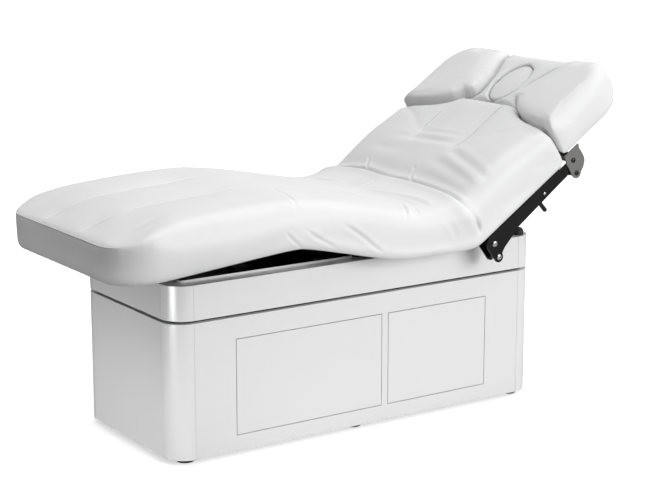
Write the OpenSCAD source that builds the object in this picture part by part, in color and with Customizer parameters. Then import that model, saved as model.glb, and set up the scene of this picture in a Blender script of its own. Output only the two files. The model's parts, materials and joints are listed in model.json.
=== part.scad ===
// Facial treatment bed: a lift cabinet with storage, a rising skirted deck and
// a sectioned mattress with adjustable legs, back and headrest.
// X runs from the foot end to the head end, +Y is the side without doors, +Z is up.

/* [Cabinet] */
// Length of the cabinet
base_l = 1358; // [1300:1:1400]
// Width of the cabinet
base_w = 582; // [560:1:600]
// Outer radius of the corner posts
corner_r = 70; // [60:1:72]
// Thickness of the panels
panel_t = 18; // [16:1:18]
// Height of the levelling feet under the cabinet
foot_h = 15; // [12:1:18]
// Diameter of the levelling feet
foot_d = 56; // [40:1:56]
// Top of the fixed cabinet above the floor
cab_top = 428; // [426:1:430]
// Width of the joint between a corner post and a panel
seam = 0.8; // [0.6:0.1:1.2]

/* [Storage doors] */
// Left edge of the long door opening
door_a0 = 210; // [208:1:212]
// Right edge of the long door opening
door_a1 = 741; // [735:1:742]
// Left edge of the short door opening
door_b0 = 763; // [762:1:768]
// Right edge of the short door opening
door_b1 = 1153; // [1140:1:1155]
// Bottom edge of both door openings
door_z0 = 64; // [62:1:70]
// Top edge of both door openings
door_z1 = 362; // [350:1:364]
// Clear gap around each door
door_gap = 2.5; // [2.4:0.1:3]

/* [Rising deck] */
// Bottom of the skirt
skirt_z0 = 437; // [436:1:440]
// Top of the skirt
skirt_z1 = 542; // [541:1:542]
// Width of the ledge round the deck
ledge_w = 52; // [48:1:53]
// Height of the lip round the leg end of the deck
lip_h = 6; // [3:0.5:6]

/* [Mattress] */
// Width of the mattress
mat_w = 800; // [790:1:800]
// Thickness of the leg cushions
mat_t = 138; // [130:1:140]
// Length of the calf cushion
calf_l = 596; // [560:1:598]
// Length of the thigh cushion
thigh_l = 352; // [350:1:354]
// Rise of the thigh section as stored
thigh_a = 13.2; // [12:0.1:14]
// Fall of the calf section as stored
calf_a = 5.4; // [5:0.1:6]
// Rise of the back section as stored
back_a = 33.5; // [32:0.5:34]
// Length of the head section's centre
head_l = 270; // [262:1:272]
// Width of the oval face plug
plug_w = 130; // [120:1:132]
// Length of the oval face plug
plug_l = 188; // [176:1:190]

/* [Hidden] */
$fn = 48;
e = 0.01;
xc = 736.238;                   // middle of the whole bed, foot to head
hw = base_w / 2;
hm = mat_w / 2;
hip_x = 725.6;  crease_z = 549.5;   // hip end of the thigh cushion
back_x = 1040.8;                    // lower end of the back cushion
knee_x = hip_x - thigh_l * cos(thigh_a);
knee_z = crease_z + thigh_l * sin(thigh_a);
// pivots
qx = 713;     qz = 534;        // thigh pivot
kx = knee_x;  kz = knee_z - 13; // knee pivot
ps = 59;      pn = -30;        // back pivot, measured along and off the back
px = back_x + ps * cos(back_a) - pn * sin(back_a);
pz = crease_z + ps * sin(back_a) + pn * cos(back_a);
hs = 454;     hn = -5;         // head pivot, measured along and off the back
foot_y = hw - 52;
bar_y = 388;                   // outer face of the back's side arms
crank_r = 60;                  // drive cranks under the deck

// ---------- shared shapes ----------
module here() { translate([-xc, 0, 0]) children(); }
// frames of the moving sections: local x runs along the section towards the
// head end, local z stands off the underside of its cushion
module on_thigh() { translate([hip_x, 0, crease_z]) rotate([0, thigh_a, 0]) children(); }
module on_calf()  { translate([knee_x, 0, knee_z]) rotate([0, -calf_a, 0]) children(); }
module on_back()  { translate([back_x, 0, crease_z]) rotate([0, -back_a, 0]) children(); }
// an outline drawn in x and z, given a thickness from y0 to y1
module side_on(y0, y1) { translate([0, y1, 0]) rotate([90, 0, 0]) linear_extrude(height = y1 - y0) children(); }
module both() { children(); mirror([0, 1, 0]) children(); }
module rod_y(x, z, r, y0, y1, f = 48) { translate([x, y0, z]) rotate([-90, 0, 0]) cylinder(r = r, h = y1 - y0, $fn = f); }
module rod_x(x0, x1, y, z, r, f = 48) { translate([x0, y, z]) rotate([0, 90, 0]) cylinder(r = r, h = x1 - x0, $fn = f); }
module block(a, b) { translate(a) cube([b[0] - a[0], b[1] - a[1], b[2] - a[2]]); }
// plan outline of the cabinet, set in by d
module plan(d) {
    r = max(corner_r - d, 2);
    translate([d, -hw + d]) {
        translate([r, 0]) square([base_l - 2 * d - 2 * r, base_w - 2 * d]);
        translate([0, r]) square([base_l - 2 * d, base_w - 2 * d - 2 * r]);
        for (x = [r, base_l - 2 * d - r], y = [r, base_w - 2 * d - r]) translate([x, y]) circle(r = r, $fn = 96);
    }
}
module ring(d0, d1, z0, z1) {
    translate([0, 0, z0]) linear_extrude(height = z1 - z0) difference() { plan(d0); plan(d1); }
}
module square_tube(w, t, z0, z1) {
    translate([0, 0, z0]) linear_extrude(height = z1 - z0)
        difference() { square(w, center = true); square(w - 2 * t, center = true); }
}
function arc(cx, cy, r, a0, a1, n = 12) = [for (i = [0:n]) let (a = a0 + (a1 - a0) * i / n) [cx + r * cos(a), cy + r * sin(a)]];
function oval(cx, a, b, n = 56) = [for (i = [0:n - 1]) let (t = 360 * i / n) [cx + a * cos(t), b * sin(t)]];

// ---------- cabinet ----------
module corner_posts(z0, z1) {
    for (sx = [0, 1], sy = [-1, 1])
        translate([sx ? base_l - corner_r : corner_r, sy * (hw - corner_r), z0])
            rotate([0, 0, sx ? (sy < 0 ? -90 : 0) : (sy < 0 ? 180 : 90)])
                rotate_extrude(angle = 90, $fn = 96) translate([corner_r - panel_t, 0]) square([panel_t, z1 - z0]);
}
module side_slab(sy, z0, z1) {
    y0 = sy < 0 ? -hw : hw - panel_t;
    block([corner_r + seam, y0, z0], [base_l - corner_r - seam, y0 + panel_t, z1]);
}
module end_slab(head, z0, z1) {
    x0 = head ? base_l - panel_t : 0;
    block([x0, -hw + corner_r + seam, z0], [x0 + panel_t, hw - corner_r - seam, z1]);
}
module base_frame() color("dimgray") here() {
    difference() {
        translate([0, 0, 17]) linear_extrude(height = 20) difference() {
            plan(20);
            translate([190, -hw + 50]) square([455, base_w - 100]);
            translate([685, -hw + 50]) square([483, base_w - 100]);
        }
        for (x = foot_xs(), sy = [-1, 1]) translate([x, sy * foot_y, 0]) cylinder(r = 6, h = 60);
    }
}
function foot_xs() = [62, base_l / 2 - 15, base_l - 62];
module levelling_feet() color("black") here()
    for (x = foot_xs(), sy = [-1, 1]) translate([x, sy * foot_y, 0]) {
        rotate_extrude($fn = 64) polygon([[0, 0], [foot_d / 2 - 2, 0], [foot_d / 2, 2], [foot_d / 2, 9], [foot_d / 2 - 5, 13], [14, 17], [6, 17], [6, 40], [0, 40]]);
    }
module lower_corner_posts() color("white") here() corner_posts(foot_h, cab_top);
module door_side_panel() color("white") here() difference() {
    side_slab(-1, foot_h, cab_top);
    for (d = [[door_a0, door_a1], [door_b0, door_b1]])
        block([d[0], -hw - 1, door_z0], [d[1], -hw + panel_t + 1, door_z1]);
    pivots(12, 2);
}
// the two vertical pivot lines of each door, as short pins top and bottom
pin_in = 4;
module pivots(into, r) {
    for (x = [door_a0 + door_gap + pin_in, door_b1 - door_gap - pin_in]) {
        translate([x, -hw + pin_in, door_z0 - into]) cylinder(r = r, h = into + door_gap + 8, $fn = 32);
        translate([x, -hw + pin_in, door_z1 - door_gap - 8]) cylinder(r = r, h = into + door_gap + 8, $fn = 32);
    }
}
module door_pivot_pins() color("silver") here() pivots(12, 2);
module plain_side_panel() color("white") here() side_slab(1, foot_h, cab_top);
module foot_end_panel() color("white") here() end_slab(false, foot_h, cab_top);
inlet_y = 150; inlet_z = 90;
module head_end_panel() color("white") here() difference() {
    end_slab(true, foot_h, cab_top);
    block([base_l - 30, inlet_y - 24, inlet_z - 14], [base_l + 5, inlet_y + 24, inlet_z + 14]);
}
module mains_inlet() color("black") here() difference() {
    union() {
        block([base_l - 40, inlet_y - 23.8, inlet_z - 13.8], [base_l, inlet_y + 23.8, inlet_z + 13.8]);
        block([base_l, inlet_y - 30, inlet_z - 19], [base_l + 2.5, inlet_y + 30, inlet_z + 19]);
    }
    block([base_l - 17, inlet_y - 13, inlet_z - 9], [base_l + 5, inlet_y + 11, inlet_z + 9]);
}
module cabinet_floor() color("gainsboro") here() difference() {
    translate([0, 0, 37]) linear_extrude(height = 8) plan(20);
    for (x = foot_xs(), sy = [-1, 1]) translate([x, sy * foot_y, 30]) cylinder(r = 9, h = 30);
    for (x = col_xs) translate([x, 0, 30]) linear_extrude(height = 30) square(150.4, center = true);
}
// open-fronted boxes behind the doors
box_y0 = -hw + panel_t; box_y1 = 120; box_t = 6;
module storage_box(x0, x1) difference() {
    block([x0 - 6, box_y0, door_z0 - 6], [x1 + 6, box_y1, door_z1 + 6]);
    block([x0, box_y0 - 1, door_z0], [x1, box_y1 - box_t, door_z1]);
}
module storage_box_long() color("whitesmoke") here() storage_box(door_a0, door_a1);
module storage_box_short() color("whitesmoke") here() storage_box(door_b0, door_b1);
module door(x0, x1, hinge_left) difference() {
    block([x0 + door_gap, -hw, door_z0 + door_gap], [x1 - door_gap, -hw + panel_t, door_z1 - door_gap]);
    hx = hinge_left ? x0 + door_gap + pin_in : x1 - door_gap - pin_in;
    for (z = [door_z0, door_z1 - door_gap - 9]) translate([hx, -hw + pin_in, z]) cylinder(r = 2.05, h = door_gap + 9, $fn = 32);
}
module storage_door_long() color("white") here() door(door_a0, door_a1, true);
module storage_door_short() color("white") here() door(door_b0, door_b1, false);
// push latches hang from the roof of each box near the door's free edge
latch_a = door_a1 - 45; latch_b = door_b0 + 45;
module push_latch_housings() color("lightgray") here() for (x = [latch_a, latch_b]) difference() {
    block([x - 9, -hw + panel_t + 6, door_z1 - 22], [x + 9, -hw + panel_t + 66, door_z1]);
    translate([x, -hw + panel_t + 5, door_z1 - 11]) rotate([-90, 0, 0]) cylinder(r = 5.05, h = 50, $fn = 32);
}
module plunger(x) { rod_y(x, door_z1 - 11, 5, -hw + panel_t + 0.4, -hw + panel_t + 45, 32); }
module push_plunger_long() color("black") here() plunger(latch_a);
module push_plunger_short() color("black") here() plunger(latch_b);
module control_box() color("dimgray") here() {
    block([420, 140, 45], [760, 240, 175]);
    block([440, 150, 175], [740, 230, 181]);
}

// ---------- lift ----------
col_xs = [110, base_l - 110];
module columns(w, z0, z1) for (x = col_xs) translate([x, 0, 0]) square_tube(w, 4, z0, z1);
module lift_columns_outer() color("silver") here() columns(150, 37, 400);
module lift_columns_middle() color("silver") here() columns(141, 48, 416);
module lift_columns_inner() color("silver") here() columns(132, 56, 441);

// ---------- rising deck ----------
module carriage_frame() color("dimgray") here() difference() {
    translate([0, 0, 441]) linear_extrude(height = 14) difference() {
        plan(24);
        translate([215, -hw + 60]) square([450, base_w - 120]);
        translate([705, -hw + 60]) square([440, base_w - 120]);
    }
}
module upper_corner_posts() color("white") here() corner_posts(skirt_z0, skirt_z1 - 2);
module upper_side_panels() color("white") here() for (s = [-1, 1]) side_slab(s, skirt_z0, skirt_z1 - 2);
module upper_end_panels() color("white") here() for (h = [false, true]) end_slab(h, skirt_z0, skirt_z1 - 2);
module top_ledge() color("white") here() {
    ring(0, ledge_w, skirt_z1 - 2, skirt_z1);
    difference() {
        ring(ledge_w - 3, ledge_w, skirt_z1, skirt_z1 + lip_h);
        block([660, -hw, 500], [base_l + 1, hw, 600]);
    }
}
module gap_sleeve() color("black") here() {
    ring(20, 24, 378, skirt_z0);
    ring(18.2, 26, skirt_z0, 441);
}
module deck_pan() color("dimgray") here() {
    translate([0, 0, 455]) linear_extrude(height = 3) plan(ledge_w + 3);
    ring(ledge_w + 3, ledge_w + 6, 458, 538);
}
stop_x = 1309; stop_y = 262;
module rubber_stops() color("black") here() both()
    translate([stop_x, stop_y, skirt_z1]) rotate_extrude($fn = 48) polygon([[0, 0], [17, 0], [17, 15], [12, 22], [8, 24], [0, 24]]);

// side plates that carry the hip board and both pivots
module hip_plate() side_on(196, 204) difference() {
    union() {
        polygon([[700, 458], [1120, 458], [1133, 490], [1127, 540], [1085, 540], [1045, 549], [738, 549], [724, 545], [697, 530]]);
        translate([qx, qz]) circle(r = 17, $fn = 64);
        translate([px, pz]) circle(r = 24, $fn = 64);
    }
    translate([qx, qz]) circle(r = 11.05, $fn = 64);
    translate([px, pz]) circle(r = 12.55, $fn = 64);
    for (x = [820, 910, 1000]) translate([x, 500]) circle(r = 24, $fn = 64);
}
module hip_frame() color("dimgray") here() {
    both() hip_plate();
    // cross ties between the side plates
    for (x = [770, 1030]) block([x - 10, -196, 520], [x + 10, 196, 549]);
}
module hip_board() color("burlywood") here() block([742, -236, 549], [1018, 236, 560.7]);
module hip_cushion() color("whitesmoke") here() difference() {
    side_on(-hm, hm) polygon([[738, 549.8], [1046, 549.8], [936, 588], [936, 672], [926, 684], [800, 684], [748, 668], [738, 655]]);
    block([741, -237, 540], [1019.5, 237, 561]);
}

// ---------- legs ----------
rail_y0 = 150; rail_y1 = 176;
function in_thigh(x, z) = let (dx = x - hip_x, dz = z - crease_z) [dx * cos(thigh_a) - dz * sin(thigh_a), dx * sin(thigh_a) + dz * cos(thigh_a)];
q_l = in_thigh(qx, qz); k_l = in_thigh(kx, kz);
module thigh_frame() color("black") here() {
    // torsion tube, with its drive crank hanging from the middle
    difference() { rod_y(qx, qz, 11, -208, 208, 64); rod_y(qx, qz, 8, -209, 209, 64); }
    difference() {
        side_on(-7, 7) union() {
            translate([qx, qz]) circle(r = 15, $fn = 48);
            translate([qx, qz]) rotate(180 - 0.7) translate([-7, 0]) square([14, crank_r]);
            translate([qx - crank_r * sin(0.7), qz - crank_r * cos(0.7)]) circle(r = 8, $fn = 48);
        }
        rod_y(qx, qz, 11, -20, 20, 64);
    }
    rod_y(qx - crank_r * sin(0.7), qz - crank_r * cos(0.7), 5, -22, -7 , 32);
    rod_y(qx - crank_r * sin(0.7), qz - crank_r * cos(0.7), 5, 7, 22 , 32);
    both() on_thigh() difference() {
        side_on(rail_y0, rail_y1) union() {
            polygon([[-thigh_l + 24, -26], [q_l[0] + 2, -26], [q_l[0] + 14, -16], [q_l[0] + 12, -1], [-thigh_l + 8, -1], [k_l[0] - 12, k_l[1]]]);
            translate(k_l) circle(r = 12, $fn = 48);
        }
        rod_y(q_l[0], q_l[1], 11, 140, 190, 64);
        rod_y(k_l[0], k_l[1], 7, 140, 190, 48);
    }
    on_thigh() block([-190, -rail_y0, -26], [-160, rail_y0, -6]);
}
module thigh_board() color("burlywood") here() on_thigh() block([-thigh_l + 12, -330, 0], [-8, 330, 12]);
module thigh_cushion() color("whitesmoke") here() on_thigh() difference() {
    side_on(-hm, hm) polygon([[-thigh_l + 3, 3], [-thigh_l + 6, 0], [-4, 0], [-4 - 0.47 * mat_t, mat_t - 6], [-12 - 0.47 * mat_t, mat_t], [-thigh_l + 14, mat_t], [-thigh_l + 3, mat_t - 12]]);
    block([-thigh_l + 11, -331, -1], [-7, 331, 12.3]);
    for (s = [-1, 1]) translate([0, s * hm, mat_t]) rotate([45, 0, 0]) cube([900, 26, 26], center = true);
}
module knee_pin() color("silver") here() rod_y(kx, kz, 7, -188, 188, 48);
module calf_frame() color("black") here() {
    both() on_calf() difference() {
        side_on(112, 138) union() {
            polygon([[-300, -14], [-288, -22], [-8, -22], [4, -17], [4, -4.5], [-14, -1.5], [-300, -1.5]]);
            translate(in_calf(kx, kz)) circle(r = 12, $fn = 48);
        }
        rod_y(in_calf(kx, kz)[0], in_calf(kx, kz)[1], 7.05, 100, 150, 48);
    }
    on_calf() for (x = [-290, -130]) block([x, -112, -20], [x + 30, 112, -4]);
}
function in_calf(x, z) = let (dx = x - knee_x, dz = z - knee_z) [dx * cos(calf_a) + dz * sin(calf_a), -dx * sin(calf_a) + dz * cos(calf_a)];
module calf_board() color("burlywood") here() on_calf() block([-calf_l + 60, -330, 0], [-12, 330, 12]);
module calf_cushion() color("whitesmoke") here() on_calf() difference() {
    intersection() {
        side_on(-hm, hm) polygon([[-calf_l, 10], [-calf_l + 8, 0], [-6, 0], [-3, 3], [-3, mat_t - 10], [-14, mat_t], [-calf_l + 60, mat_t - 4], [-calf_l + 10, mat_t - 20], [-calf_l, mat_t - 32]]);
        translate([0, 0, -10]) linear_extrude(height = 200) union() {
            translate([-calf_l, -hm + 139]) square([calf_l, mat_w - 278]);
            translate([-calf_l + 139, -hm]) square([calf_l - 139, mat_w]);
            for (s = [-1, 1]) translate([-calf_l + 139, s * (hm - 139)]) circle(r = 139, $fn = 96);
        }
    }
    block([-calf_l + 59, -331, -1], [-11, 331, 12.3]);
    for (s = [-1, 1]) translate([0, s * hm, mat_t]) rotate([45, 0, 0]) cube([1300, 26, 26], center = true);
}

// ---------- back ----------
module back_torsion_tube() color("black") here() {
    difference() { rod_y(px, pz, 12.5, -bar_y + 5, bar_y - 5, 64); rod_y(px, pz, 9.5, -bar_y, bar_y, 64); }
    difference() {
        side_on(-7, 7) union() {
            translate([px, pz]) circle(r = 17, $fn = 48);
            translate([px, pz]) rotate(180 - 1.5) translate([-8, 0]) square([16, crank_r]);
            translate([px - crank_r * sin(1.5), pz - crank_r * cos(1.5)]) circle(r = 9, $fn = 48);
        }
        rod_y(px, pz, 12.5, -20, 20, 64);
    }
    rod_y(px - crank_r * sin(1.5), pz - crank_r * cos(1.5), 5, -22, -7, 32);
    rod_y(px - crank_r * sin(1.5), pz - crank_r * cos(1.5), 5, 7, 22, 32);
}
// kite-shaped hinge end, drawn about the upper screw at the origin
module kite() {
    circle(r = 29, $fn = 96);
    translate([-9.5, -47.5]) circle(r = 17, $fn = 64);
    polygon([[-28.6, -4.6], [-26.3, -46.5], [-9.5, -47.5], [7.4, -46], [25, -14], [0, 0]]);
}
module arm_outline() {
    translate([ps, pn]) difference() {
        union() {
            kite();
            polygon([[0, 0], [7.4, -46], [20, -38.5], [32, -34.5], [56, -29], [104, -18], [104, 10], [0, 10]]);
        }
        translate([-60, 29.9]) square([200, 30]);
        translate([-60, 30]) square([120, 30]);
    }
    polygon([[70, -20], [140, -47], [200, -45], [330, -39.5], [404, -37], [411, -36.5], [424, -27.5], [452, -23], [452, -4], [424, 0], [ps - 12, 0], [ps, -20]]);
    translate([hs, hn]) circle(r = 19, $fn = 64);
}
module back_side_arms() color("black") here() on_back() both() {
    difference() {
        union() {
            side_on(bar_y - 5, bar_y) arm_outline();
            // folded edges of the channel
            side_on(bar_y - 22, bar_y - 5) polygon([[150, -46.5], [200, -45], [330, -39.5], [396, -37.3], [396, -33.3], [330, -35.5], [200, -41], [150, -42.5]]);
            side_on(bar_y - 22, bar_y - 5) polygon([[100, -4], [396, -4], [396, 0], [100, 0]]);
            // inner hinge plate and its spacer
            side_on(bar_y - 46, bar_y - 40) translate([ps, pn]) kite();
            rod_y(ps - 9.5, pn - 47.5, 10, bar_y - 40, bar_y - 5);
            side_on(bar_y - 40, bar_y - 34) polygon([[ps, -26], [ps + 28, -26], [ps + 28, -8], [ps, -8]]);
        }
        rod_y(ps, pn, 12.5, 300, bar_y - 5);
        rod_y(hs, hn, 6, 300, 400);
        rod_y(ps, pn, 6, bar_y - 6, bar_y + 1);
        rod_y(ps - 9.5, pn - 47.5, 6, bar_y - 50, bar_y + 1);
        translate([279, bar_y - 13.5, -50]) cylinder(r = 8, h = 20, $fn = 48);
    }
}
module back_cross_tubes() color("black") here() on_back() {
    block([236, -(bar_y - 5), -19.5], [290, bar_y - 5, -12]);
    block([360, -(bar_y - 5), -32], [382, bar_y - 5, -12]);
    block([112, -(bar_y - 5), -32], [134, bar_y - 5, -12]);
    // bracket of the headrest gas spring
    side_on(-12, 12) polygon([[362, -32], [380, -32], [380, -50], [326, -52], [326, -80], [314, -80], [314, -44]]);
}
module head_gas_cylinder() color("black") here() on_back() difference() {
    rod_x(326, 388, 0, -66, 11, 64);
    rod_x(327.5, 389, 0, -66, 5.95, 48);
}
module back_board() color("burlywood") here() on_back() difference() {
    block([96, -(bar_y - 24), -12], [492, bar_y - 24, 0]);
    for (s = [-1, 1]) block([418, s > 0 ? 150 : -400, -20], [500, s > 0 ? 400 : -150, 10]);
}
// plan outline of the back: full width, with an S-curved shoulder in to the neck
function shoulder() = [[419, 400], [434, 352], [441, 306], [449, 262], [457, 229], [469, 196], [486, 161], [496, 151], [505, 146], [513, 140]];
module back_plan() {
    polygon(concat([[36, -hm], [36, hm]], shoulder(), [[514, 0]], [for (i = [9:-1:0]) [shoulder()[i][0], -shoulder()[i][1]]]));
}
module back_cushion() color("whitesmoke") here() on_back() difference() {
    intersection() {
        linear_extrude(height = 160) back_plan();
        side_on(-hm, hm) polygon([[40, 0], [600, 0], [600, 140], [96, 140], [78, 130], [44, 96], [40, 80]]);
    }
    for (s = [-1, 1]) translate([300, s * hm, 140]) rotate([45, 0, 0]) cube([900, 22, 22], center = true);
}
module screw(y, r, h) { translate([0, y, 0]) rotate([-90, 0, 0]) difference() { rotate_extrude($fn = 48) polygon([[0, 0], [r, 0], [r, h * 0.4], [r * 0.8, h * 0.85], [r * 0.5, h], [0, h]]); translate([0, 0, h * 0.45]) cylinder(r = r * 0.36, h = h, $fn = 6); } }
module back_hinge_screws() color("silver") here() on_back() both() {
    translate([ps, 0, pn]) { screw(bar_y, 9.5, 4.5); rod_y(0, 0, 6, bar_y - 5, bar_y); }
    translate([ps - 9.5, 0, pn - 47.5]) { screw(bar_y, 9.5, 4.5); rod_y(0, 0, 6, bar_y - 46, bar_y); }
    translate([305, 0, -24]) screw(bar_y, 5, 3);
}
module head_pivot_pins() color("silver") here() on_back() {
    // pin of the release lever, from the web of the near arm
    translate([273, -(bar_y - 13.5), 0]) rotate([0, -9, 0]) rod_y(0, lever_z, 3, -8.5, 8, 48);
    both() {
    rod_y(hs, hn, 6, bar_y - 20, bar_y + 5.4);
    translate([hs, 0, hn]) screw(bar_y + 5.4, 8.5, 4);
    }
}
lever_z = -32;                  // pin of the lever, below the origin of its own frame
module release_lever() color("black") here() on_back() translate([273, -(bar_y - 13.5), 0]) rotate([0, -9, 0]) {
    translate([0, 0, -80]) cylinder(r = 7.2, h = 32, $fn = 48);
    translate([0, 0, -80]) sphere(r = 7.2, $fn = 48);
    translate([0, 0, -48]) cylinder(r = 5, h = 10, $fn = 32);
    difference() {
        union() { translate([0, 0, -38]) cylinder(r = 4, h = 4, $fn = 32); rod_y(0, lever_z, 4.6, -6, 6, 48); }
        rod_y(0, lever_z, 3.05, -8, 8, 48);
    }
}

// ---------- head ----------
module head_plate_outline() {
    // the same kite, carried up to the underside of the wings
    translate([hs - 1.3, hn - 0.5]) intersection() {
        union() {
            circle(r = 28, $fn = 96);
            translate([-9, -45]) circle(r = 17.5, $fn = 64);
            polygon([[-27.5, -5], [-26.3, -43], [-9, -45], [6, -54], [26, -44], [40, -30], [44, -18], [44, 6], [42, 18], [47, 33.5], [-20, 33.5], [-24, 14]]);
        }
        translate([-60, -100]) square([200, 133.5]);
    }
}
module head_hinge_plates() color("gray") here() on_back() both() difference() {
    side_on(bar_y + 0.4, bar_y + 5) head_plate_outline();
    rod_y(hs, hn, 6.05, 380, 400);
    rod_y(hs - 10.3, hn - 45, 5, 380, 400);
}
module head_plate_screws() color("silver") here() on_back() both() translate([hs - 10.3, 0, hn - 45]) {
    screw(bar_y + 5, 8.5, 4);
    rod_y(0, 0, 5, bar_y - 8, bar_y + 5);
}
module head_frame() color("black") here() on_back() {
    // transverse tube joining the two hinge plates under the back board
    both() rod_y(hs - 10.3, hn - 45, 12, bar_y - 30, bar_y - 8);
    both() side_on(bar_y - 30, bar_y - 24) polygon([[hs - 22, hn - 52], [hs - 2, hn - 57], [500, -60], [512, -48], [512, -32], [500, -28], [hs - 2, -38]]);
    block([490, -(bar_y - 30), -56], [512, bar_y - 30, -34]);
    both() block([512, 112, -54], [740, 134, -36]);
    both() block([560, 112, -36], [590, 134, -12]);
    both() block([700, 112, -36], [730, 134, -12]);
    // arms that carry the wings
    both() block([600, 134, -34], [640, 255, -26]);
    both() block([600, 134, -54], [640, 142, -34]);
    both() block([600, 235, -26], [640, 255, 16]);
    both() block([560, 190, 16], [700, 300, 29]);
    // drive crank of the gas spring
    side_on(-6, 6) polygon([[492, -56], [506, -56], [hs + 20, -76], [hs + 4, -hh], [hs - 4, -hh], [hs + 2, -72]]);
    rod_y(hs, -hh + 3, 5, -20, 20, 32);
}
hh = 80;
module head_board() color("burlywood") here() on_back() difference() {
    translate([0, 0, -12]) linear_extrude(height = 12) difference() {
        intersection() { polygon(head_centre_pts(6)); translate([500, -200]) square([268, 400]); }
        polygon(oval(620, plug_l / 2 - 12, plug_w / 2 - 10));
    }
}
function head_centre_pts(d) = let (h = [[518 + d, 138], [526 + d, 112], [542, 94], [590, 96], [640, 108], [700, 134], [750, 158], [516 + head_l + 2 - d, 172]])
    concat([for (p = h) [p[0], p[1] - d]], [for (i = [7:-1:0]) [h[i][0], -(h[i][1] - d)]]);
module head_cushion() color("whitesmoke") here() on_back() difference() {
    intersection() {
        linear_extrude(height = 150) polygon(head_centre_pts(1));
        side_on(-hm, hm) polygon([[500, 0], [516 + head_l - 4, 0], [516 + head_l, 8], [516 + head_l, 96], [770, 118], [740, 128], [500, 136]]);
    }
    translate([0, 0, -1]) linear_extrude(height = 200) polygon(oval(620, plug_l / 2 + 1, plug_w / 2 + 1));
}
module face_plug() color("whitesmoke") here() on_back() translate([0, 0, 0.4]) linear_extrude(height = 134) polygon(oval(620, plug_l / 2, plug_w / 2));
function wing_pts() = concat(
    [[427, 400], [437, 353], [444, 307], [452, 263], [460, 230], [472, 197], [489, 162], [500, 153], [509, 148]],
    [[520, 140], [528, 114], [543, 95.5], [590, 97.5], [640, 109.5], [700, 135.5], [750, 159.5], [782, 178]],
    [[784, 240]], arc(632, 248, 152, 0, 90, 10));
module wing() difference() {
    intersection() {
        translate([0, 0, 29]) linear_extrude(height = 140) polygon(wing_pts());
        side_on(0, 420) polygon([[420, 45], [432, 29], [700, 29], [790, 60], [790, 118], [764, 144], [724, 158], [640, 162], [440, 162], [424, 150]]);
    }
    translate([620, hm, 162]) rotate([45, 0, 0]) cube([900, 30, 30], center = true);
}
module head_wing_left() color("whitesmoke") here() on_back() wing();
module head_wing_right() color("whitesmoke") here() on_back() mirror([0, 1, 0]) wing();

// ---------- drives ----------
back_pin = [px - crank_r * sin(1.5), pz - crank_r * cos(1.5)];
leg_pin = [qx - crank_r * sin(0.7), qz - crank_r * cos(0.7)];
// a slotted fork that takes a crank's cross pin, slot upright
module fork(x, z, up) {
    for (s = [-1, 1]) difference() {
        block([x - 14, s > 0 ? 12 : -18, z - 16], [x + 14, s > 0 ? 18 : -12, z + up]);
        block([x - 7.5, -30, z - 10], [x + 7.5, 30, z + up - 6]);
    }
}
module drive_housings() color("dimgray") here() {
    // back drive, then leg drive, both lying in the deck pan
    difference() {
        union() { rod_x(835, 1000, 0, back_pin[1] - 2, 18, 64); block([790, -26, back_pin[1] - 30], [838, 26, back_pin[1] + 20]); block([830, -20, 458], [850, 20, back_pin[1] - 2]); block([975, -20, 458], [995, 20, back_pin[1] - 2]); }
        rod_x(860, 1001, 0, back_pin[1] - 2, 9.05, 48);
    }
    difference() {
        union() { rod_x(410, 590, 0, leg_pin[1] + 4, 15, 64); block([370, -24, 459], [414, 24, 505]); block([420, -12, 458], [440, 12, 470]); block([560, -12, 458], [580, 12, 470]); }
        rod_x(430, 591, 0, leg_pin[1] + 4, 8.05, 48);
    }
}
module back_drive_rod() color("silver") here() {
    rod_x(902, back_pin[0] - 24, 0, back_pin[1] - 2, 9, 48);
    block([back_pin[0] - 30, -18, back_pin[1] - 14], [back_pin[0] - 18, 18, back_pin[1] + 10]);
    for (s = [-1, 1]) block([back_pin[0] - 19, s > 0 ? 12 : -18, back_pin[1] - 14], [back_pin[0] - 13, s > 0 ? 18 : -12, back_pin[1] + 10]);
    fork(back_pin[0], back_pin[1], 28);
}
module leg_drive_rod() color("silver") here() {
    rod_x(450, leg_pin[0] - 24, 0, leg_pin[1] + 4, 8, 48);
    block([leg_pin[0] - 30, -18, leg_pin[1] - 8], [leg_pin[0] - 18, 18, leg_pin[1] + 14]);
    for (s = [-1, 1]) block([leg_pin[0] - 19, s > 0 ? 12 : -18, leg_pin[1] - 8], [leg_pin[0] - 13, s > 0 ? 18 : -12, leg_pin[1] + 14]);
    translate([0, 0, 3]) fork(leg_pin[0], leg_pin[1], 14);
}
module head_gas_rod() color("silver") here() on_back() {
    rod_x(366, hs - 20, 0, -66, 5.9, 48);
    block([hs - 26, -15, -76], [hs - 16, 15, -56]);
    for (s = [-1, 1]) difference() {
        block([hs - 17, s > 0 ? 10 : -15, -92], [hs + 13, s > 0 ? 15 : -10, -50]);
        block([hs - 8, -30, -87], [hs + 8, 30, -56]);
    }
}

base_frame();
levelling_feet();
lower_corner_posts();
door_side_panel();
plain_side_panel();
foot_end_panel();
head_end_panel();
cabinet_floor();
storage_box_long();
storage_box_short();
lift_columns_outer();
control_box();
mains_inlet();
door_pivot_pins();
push_latch_housings();
push_plunger_long();
push_plunger_short();
storage_door_long();
storage_door_short();
lift_columns_middle();
lift_columns_inner();
carriage_frame();
upper_corner_posts();
upper_side_panels();
upper_end_panels();
top_ledge();
gap_sleeve();
deck_pan();
rubber_stops();
hip_frame();
hip_board();
hip_cushion();
thigh_frame();
thigh_board();
thigh_cushion();
knee_pin();
calf_frame();
calf_board();
calf_cushion();
back_torsion_tube();
back_side_arms();
back_cross_tubes();
back_board();
back_cushion();
back_hinge_screws();
head_pivot_pins();
release_lever();
head_hinge_plates();
head_plate_screws();
head_frame();
head_board();
head_cushion();
head_wing_left();
head_wing_right();
face_plug();
drive_housings();
back_drive_rod();
leg_drive_rod();
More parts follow.
